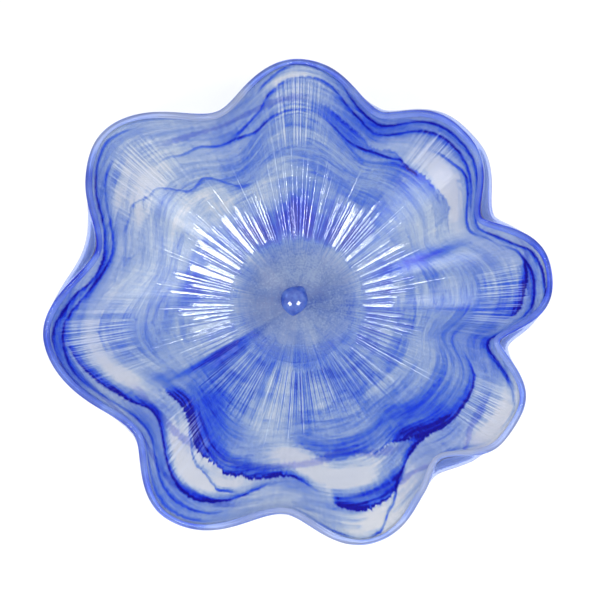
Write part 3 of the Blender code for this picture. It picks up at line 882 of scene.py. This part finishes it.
def add_casing():
    """The clear outer layer."""
    inner_levels = np.concatenate((np.linspace(-0.8, 0.0, 4), np.linspace(0.06, 1.0, 28)))
    outer_levels = np.concatenate((np.linspace(-0.8, 0.0, 5), np.linspace(0.05, 1.0, 44)))
    inside = Wall(CASING_COLUMNS, inner_levels)
    outside = Wall(CASING_COLUMNS, outer_levels)
    depth = gather_depth(inside.levels) + GAP
    poles = np.array((
        (0, 0, well_height(-1.0) - gather_depth(-1.0) - GAP),
        (0, 0, well_height(-1.0) - wall_thickness(-1.0)),
    ))
    faces = (inside.face(depth[None, :]), outside.face(wall_thickness(outside.levels)[None, :]))
    casing = layer_mesh("casing_glass", faces, poles)
    walls = (inside, outside)
    near_rim = [ease((share_at(wall) - 0.74) / 0.18) for wall in walls]
    add_attribute(casing, "comb", joined([comb_vectors(wall) for wall in walls]))
    add_attribute(casing, "leaning", joined([leaning_values(wall) for wall in walls]))
    add_attribute(casing, "near_rim", joined(near_rim))
    casing.data.materials.append(casing_material())
    finish_piece(casing, "clear_casing", "clear_casing")


# Colour of the lip, from clear to the darkest cobalt.
LIP_COLOURS = (
    (0.00, (0.64, 0.67, 0.76)),
    (0.30, (0.38, 0.50, 0.88)),
    (0.65, (0.12, 0.23, 0.88)),
    (1.00, (0.03, 0.04, 0.60)),
)


def lip_material():
    graph = Graph("lip_glass")
    comb = graph.attribute("comb", vector=True)
    drift = graph.noise(graph.scaled(comb, (9.0, 9.0, 1.0)), detail=3.0)
    ink = graph.product(graph.attribute("ink"), graph.map(drift, 0.3, 0.7, 0.6, 1.15))
    colour = graph.ramp(ink, LIP_COLOURS)
    return graph.glass(
        colour,
        graph.blend(0.8, colour, (0.99, 0.99, 1.0)),
        {"Roughness": 0.04, "IOR": 1.2, "Transmission Weight": 0.7},
    )


# How dark the lip is: angle and share.
LIP_INK = (
    (0, 1.0), (12, 1.0), (25, 0.9), (40, 0.55), (60, 0.5), (75, 0.7), (90, 0.75), (100, 0.6),
    (106, 0.15), (125, 0.15), (141, 0.35), (151, 0.8), (170, 0.9), (195, 0.85), (220, 0.75),
    (244, 0.7), (250, 0.3), (275, 0.2), (288, 0.35), (296, 0.3), (310, 0.1), (325, 0.15),
    (336, 0.5), (348, 0.6),
)
LIP_SIDES = 10


def add_lip():
    """A rounded thread along the rim, its height wandering a little."""
    wall = Wall(GATHER_COLUMNS, np.linspace(0.9, 1.0, 6))
    top = wall.points[:, -1]
    side = wall.normals[:, -1]
    rise = unit(wall.points[:, -1] - wall.points[:, -2])
    width = WALL_THICKNESS / 2 + LIP_OVERLAP
    centre = top + side * WALL_THICKNESS / 2 + rise * GAP
    bearing = np.radians(wall.angles)
    wander = 1 + 0.06 * np.sin(bearing * 11) + 0.05 * np.sin(bearing * 23 + 1)
    rows = []
    for turned in np.linspace(0, math.pi, LIP_SIDES + 1):
        dome = (LIP_HEIGHT * math.sin(turned) * wander)[:, None]
        rows.append(centre + side * width * math.cos(turned) + rise * dome)
    points = np.stack(rows, axis=1)
    columns, sides = points.shape[:2]
    column, row = np.meshgrid(np.arange(columns), np.arange(sides), indexing="ij")
    here = column * sides + row
    there = (column + 1) % columns * sides + row
    step = (row + 1) % sides - row
    quads = np.stack((there, there + step, here + step, here), axis=-1).reshape(-1, 4)
    lip = new_object("lip_glass", points.reshape(-1, 3), quads.tolist())
    inward = np.linspace(0, 1, sides)
    outline = np.exp(-((inward / 0.20) ** 2))
    profile = 0.60 + 0.40 * outline + 0.25 * np.exp(-(((inward - 1) / 0.16) ** 2))
    ink = around(LIP_INK, wall.angles)[:, None] * profile + 0.40 * outline
    add_attribute(lip, "ink", ink.ravel())
    comb = np.stack((np.cos(bearing), np.sin(bearing), np.ones_like(bearing)), -1)
    add_attribute(lip, "comb", np.repeat(comb, sides, axis=0))
    lip.data.materials.append(lip_material())
    finish_piece(lip, "cobalt", "lip_wrap")


# Trails between the layers, as ribbons: node, and stations of angle and level for their middle.
TRAILS = {
    "cobalt_trail_inner": ((205, 0.60), (245, 0.56), (285, 0.47), (308, 0.56)),
    "cobalt_trail_back": ((84, 0.77), (134, 0.74)),
    "cobalt_trail_front_left": ((194, 0.84), (257, 0.80)),
    "cobalt_trail_front_right": ((281, 0.72), (336, 0.74)),
    "cobalt_trail_right": ((345, 0.85), (360, 0.86), (432, 0.82)),
}
TRAIL_HALF_WIDTH = 0.030
TRAIL_THICKNESS = 0.000075
TRAIL_DEPTH = GATHER_THICKNESS + GAP / 2
TRAIL_ROWS = 9
TRAIL_COLUMNS = 720
TRAIL_LEVELS = 401
TRAIL_END_DEGREES = 8


def ribbon_side(face, levels, angles, middle):
    """One side of a ribbon along a middle line, on a face of the wall given at fine levels."""
    across = np.linspace(-1, 1, TRAIL_ROWS) * TRAIL_HALF_WIDTH
    side = np.zeros((len(angles), TRAIL_ROWS, 3))
    for index, angle in enumerate(angles):
        column = round(angle * TRAIL_COLUMNS / 360) % TRAIL_COLUMNS
        for axis in range(3):
            side[index, :, axis] = np.interp(middle[index] + across, levels, face[column, :, axis])
    return side


def ribbon_faces(columns):
    """Quads of a closed ribbon: its two sides, its two long edges and its two ends."""
    back = columns * TRAIL_ROWS
    faces = []
    for start in range(0, back - TRAIL_ROWS, TRAIL_ROWS):
        for here in range(start, start + TRAIL_ROWS - 1):
            there = here + TRAIL_ROWS
            faces.append((here, here + 1, there + 1, there))
            faces.append((back + here, back + there, back + there + 1, back + here + 1))
        low, high = start, start + TRAIL_ROWS - 1
        faces.append((low, low + TRAIL_ROWS, back + low + TRAIL_ROWS, back + low))
        faces.append((high, back + high, back + high + TRAIL_ROWS, high + TRAIL_ROWS))
    last = back - TRAIL_ROWS
    for row in range(TRAIL_ROWS - 1):
        faces.append((row, back + row, back + row + 1, row + 1))
        faces.append((last + row, last + row + 1, back + last + row + 1, back + last + row))
    return faces


def add_trail(node, stations, material):
    """A thin ribbon of colour between the two layers."""
    at, stations_middle = zip(*stations)
    angles = np.linspace(at[0], at[-1], (at[-1] - at[0]) * TRAIL_COLUMNS // 360 + 1)
    middle = np.interp(angles, at, stations_middle)
    levels = np.linspace(0, 1, TRAIL_LEVELS)
    wall = Wall(TRAIL_COLUMNS, levels)
    sides = [
        ribbon_side(wall.face(depth), levels, angles, middle).reshape(-1, 3)
        for depth in (TRAIL_DEPTH, TRAIL_DEPTH + TRAIL_THICKNESS)
    ]
    trail = new_object(node + "_glass", np.concatenate(sides), ribbon_faces(len(angles)))
    ends = ease(np.minimum(angles - at[0], at[-1] - angles) / TRAIL_END_DEGREES)
    bearing = np.radians(angles)
    comb = np.stack((np.cos(bearing), np.sin(bearing), np.ones(len(angles))), -1)
    across = np.tile(np.linspace(-1, 1, TRAIL_ROWS), len(angles))
    add_attribute(trail, "comb", np.tile(np.repeat(comb, TRAIL_ROWS, axis=0), (2, 1)))
    add_attribute(trail, "across", np.tile(across, 2))
    add_attribute(trail, "ends", np.tile(np.repeat(ends, TRAIL_ROWS), 2))
    trail.data.materials.append(material)
    finish_piece(trail, "cobalt", node)


def drop_material():
    graph = Graph("blue_drop_glass")
    where = graph.add("ShaderNodeTexCoord").outputs["Object"]
    cloud = graph.noise(where, scale=180.0, detail=2.0)
    colour = graph.ramp(cloud, ((0.3, (0.035, 0.09, 0.46)), (0.7, (0.13, 0.24, 0.62))))
    return graph.glass(
        colour,
        (0.4, 0.5, 0.9, 1.0),
        {
            "Roughness": 0.03,
            "IOR": 1.5,
            "Transmission Weight": 0.45,
            "Coat Weight": 1.0,
            "Coat Roughness": 0.02,
        },
    )


DROP_SIDES = 72
DROP_RINGS = 24
DROP_SPREAD = 1.10
# Blunt points of the drop's outline: angle, reach in degrees, and share of the radius.
DROP_POINTS = ((58, 22, 0.20), (266, 18, 0.13))


def drop_outline(bearing, way):
    """Share of the radius at a bearing; the points grow in from the top (0) to the foot (1)."""
    angle = math.degrees(bearing)
    points = sum(share * math.exp(-((turn(at, angle) / wide) ** 2)) for at, wide, share in DROP_POINTS)
    lumps = 1 + 0.015 * math.sin(3 * bearing + 1) * way
    return DROP_SPREAD * (1 + points * way**3) * lumps


def add_drop():
    """The dome of blue glass in the well, a little lopsided."""
    low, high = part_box("centre_drop")
    x, y = (low[0] + high[0]) / 2, (low[1] + high[1]) / 2
    radius = (high[0] - low[0]) / 2
    height = high[2] - low[2]
    rings = np.zeros((DROP_RINGS - 1, DROP_SIDES, 3))
    for ring in range(1, DROP_RINGS):
        way = ring / (DROP_RINGS - 1)
        turned = math.pi / 2 * way
        for side in range(DROP_SIDES):
            bearing = 2 * math.pi * side / DROP_SIDES
            out = radius * math.sin(turned) * drop_outline(bearing, way)
            up = low[2] + height * math.cos(turned)
            rings[ring - 1, side] = (x + out * math.cos(bearing), y + out * math.sin(bearing), up)
    drop = capped_rings("drop_glass", rings, (x, y, high[2]), (x, y, low[2]))
    drop.data.materials.append(drop_material())
    finish_piece(drop, "blue_drop", "centre_drop")


def foot_material():
    graph = Graph("blue_foot_glass")
    where = graph.add("ShaderNodeTexCoord").outputs["Object"]
    cloud = graph.noise(where, scale=45.0, detail=3.0)
    colour = graph.ramp(cloud, ((0.3, (0.66, 0.73, 0.92)), (0.7, (0.76, 0.81, 0.95))))
    normal = graph.bump(graph.noise(where, scale=900.0, detail=2.0), 0.2, 0.0003)
    return graph.glass(
        colour,
        (0.88, 0.90, 0.98, 1.0),
        {"Roughness": 0.25, "IOR": 1.3, "Transmission Weight": 0.85, "Normal": normal},
    )


FOOT_SIDES = 128
FOOT_EDGE = 0.0012
FOOT_EDGE_STEPS = 8
DIMPLE_RADIUS = 0.012
DIMPLE_DEPTH = 0.0012
DIMPLE_STEPS = 8


def foot_profile(radius, top):
    """Radius and height from the top face, round the edge and over to the dimple underneath."""
    profile = [(radius * share, top) for share in (0.5, 0.9, 0.96)]
    for step in range(FOOT_EDGE_STEPS + 1):
        turned = math.pi / 2 - math.pi * step / FOOT_EDGE_STEPS
        out = radius - FOOT_EDGE + FOOT_EDGE * math.cos(turned)
        profile.append((out, top / 2 + top / 2 * math.sin(turned)))
    profile += [(radius * 0.9, 0.0), (radius * 0.5, 0.0)]
    for step in range(DIMPLE_STEPS):
        turned = math.pi / 2 * step / DIMPLE_STEPS
        profile.append((DIMPLE_RADIUS * math.cos(turned), DIMPLE_DEPTH * math.sin(turned)))
    return profile


def add_foot():
    """The flat foot, turned, with a polished dimple under it."""
    _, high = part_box("foot_pad")
    radius, _, top = high
    profile = foot_profile(radius, top)
    rings = np.zeros((len(profile), FOOT_SIDES, 3))
    for ring, (out, up) in enumerate(profile):
        for side in range(FOOT_SIDES):
            bearing = 2 * math.pi * side / FOOT_SIDES
            rings[ring, side] = (out * math.cos(bearing), out * math.sin(bearing), up)
    foot = capped_rings("foot_glass", rings, (0, 0, top), (0, 0, DIMPLE_DEPTH))
    foot.data.materials.append(foot_material())
    finish_piece(foot, "blue_foot", "foot_pad")


def finish_piece(piece, slot, *nodes):
    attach(piece, "root")
    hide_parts(*nodes)


# --------------------------------------------------------------------------- studio

CAMERA_DISTANCE = 1.24
CAMERA_TILT = 4.0
CAMERA_LENS = 91.2
LOOK_AT = (0.002, 0.0, 0.06)
# Lamps: name, bearing and lean off the vertical in degrees.
SOFTBOXES = (("softbox_left", 215, 28), ("softbox_right", 329, 27))
SOFTBOX_DISTANCE = 1.3
SOFTBOX_SIZE = 0.40
SOFTBOX_POWER = 6.6
FLOOR_HALF_SIZE = 6.0
FLOOR_DROP = 0.0002


def add_camera():
    data = bpy.data.cameras.new("camera")
    data.lens = CAMERA_LENS
    camera = bpy.data.objects.new("camera", data)
    tilt = math.radians(CAMERA_TILT)
    back = Vector((0, -math.sin(tilt), math.cos(tilt)))
    camera.location = Vector(LOOK_AT) + back * CAMERA_DISTANCE
    camera.rotation_euler = (tilt, 0, 0)
    bpy.context.scene.collection.objects.link(camera)
    bpy.context.scene.camera = camera


def add_softbox(name, bearing, lean):
    """A square lamp seen from the bowl at a bearing, lean degrees off the vertical."""
    data = bpy.data.lights.new(name, "AREA")
    data.shape = "RECTANGLE"
    data.size = SOFTBOX_SIZE
    data.size_y = SOFTBOX_SIZE
    data.energy = SOFTBOX_POWER
    lamp = bpy.data.objects.new(name, data)
    bearing, lean = math.radians(bearing), math.radians(lean)
    way = Vector((
        math.sin(lean) * math.cos(bearing), math.sin(lean) * math.sin(bearing), math.cos(lean)
    ))
    lamp.location = way * SOFTBOX_DISTANCE
    lamp.rotation_euler = way.to_track_quat("Z", "Y").to_euler()
    bpy.context.scene.collection.objects.link(lamp)


def add_floor():
    size = FLOOR_HALF_SIZE
    verts = [(-size, -size, 0), (size, -size, 0), (size, size, 0), (-size, size, 0)]
    floor = new_object("floor", verts, [(0, 1, 2, 3)])
    graph = Graph("pale_floor")
    shader = graph.add(
        "ShaderNodeBsdfPrincipled", {"Base Color": (0.93, 0.93, 0.93, 1.0), "Roughness": 0.9}
    )
    graph.add("ShaderNodeOutputMaterial", {"Surface": shader.outputs[0]})
    floor.data.materials.append(graph.material)
    floor.location.z = -FLOOR_DROP


def add_studio():
    world = bpy.data.worlds.new("studio")
    bpy.context.scene.world = world
    world.use_nodes = True
    background = world.node_tree.nodes["Background"]
    background.inputs["Color"].default_value = (0.97, 0.98, 1.0, 1.0)
    background.inputs["Strength"].default_value = 0.64
    for name, bearing, lean in SOFTBOXES:
        add_softbox(name, bearing, lean)
    add_floor()
    scene = bpy.context.scene
    scene.view_settings.view_transform = "Standard"
    scene.cycles.max_bounces = 24
    scene.cycles.transmission_bounces = 20
    scene.cycles.transparent_max_bounces = 24
    scene.cycles.glossy_bounces = 6
    scene.cycles.diffuse_bounces = 3


add_camera()
add_studio()
add_gather()
add_casing()
add_lip()
TRAIL_GLASS = trail_material()
for node_name, trail_stations in TRAILS.items():
    add_trail(node_name, trail_stations, TRAIL_GLASS)
add_drop()
add_foot()
